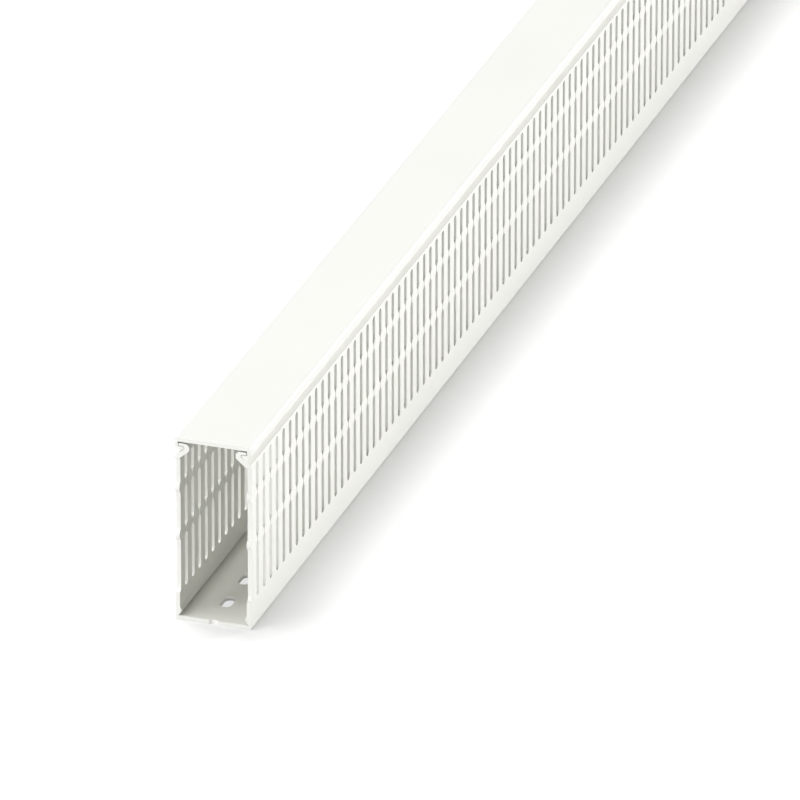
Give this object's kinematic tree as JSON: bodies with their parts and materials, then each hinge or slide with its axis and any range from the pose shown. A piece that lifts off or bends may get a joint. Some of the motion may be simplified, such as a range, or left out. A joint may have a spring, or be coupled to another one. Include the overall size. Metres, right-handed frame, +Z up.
{
  "type": "slotted wire duct",
  "caption": "Slotted wire duct: an extruded channel with pinched finger slots, snap hooks and a row of floor fixing slots, closed by a hook-on cover.",
  "frame": {"origin": "on the underside, midway across and midway along the duct", "axes": "+X across the duct, +Y along it, +Z up from the mounting panel towards the cover; the end at low Y has a fixing slot cut by it"},
  "size_m": [0.04, 2, 0.1],
  "materials": {
    "channel_pvc": "satin, extruded and punched rigid PVC, warm white",
    "cover_pvc": "smooth satin, extruded rigid PVC, warm white"
  },
  "bodies": {
    "duct_base": {"channel": "channel_pvc"},
    "duct_cover": {"cover": "cover_pvc"}
  },
  "joints": [
    {"name": "cover_slide", "type": "slide", "parent": "duct_base", "child": "duct_cover", "axis": [0, 1, 0], "range_m": [-1.9, 1.9]}
  ]
}
